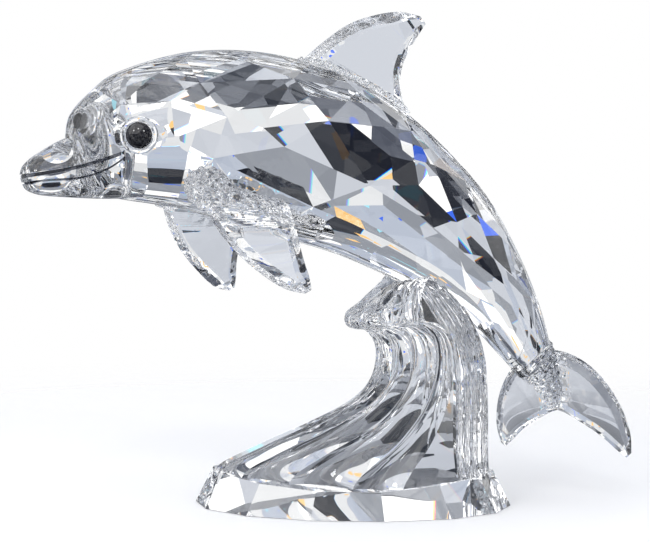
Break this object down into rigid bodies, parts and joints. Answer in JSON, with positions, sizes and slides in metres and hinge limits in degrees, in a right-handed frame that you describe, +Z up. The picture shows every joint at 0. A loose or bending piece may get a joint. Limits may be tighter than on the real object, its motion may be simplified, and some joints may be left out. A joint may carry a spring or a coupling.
{
  "type": "dolphin figurine",
  "caption": "Cut-crystal dolphin leaping over a curling wave that stands on a faceted foot; a tabletop ornament.",
  "frame": {"origin": "middle of the foot's flat underside, under the wave", "axes": "+Z up, nose towards -X, tail towards +X, the dolphin's left side towards -Y"},
  "size_m": [0.144, 0.0518, 0.1149],
  "materials": {
    "crystal": "polished clear cut crystal",
    "black_crystal": "polished jet-black crystal"
  },
  "bodies": {
    "root": {"dolphin_body": "crystal", "dorsal_fin": "crystal", "pectoral_fin_left": "crystal", "pectoral_fin_right": "crystal", "tail_flukes": "crystal", "eye_left": "black_crystal", "eye_right": "black_crystal", "wave_base": "crystal"}
  },
  "joints": []
}
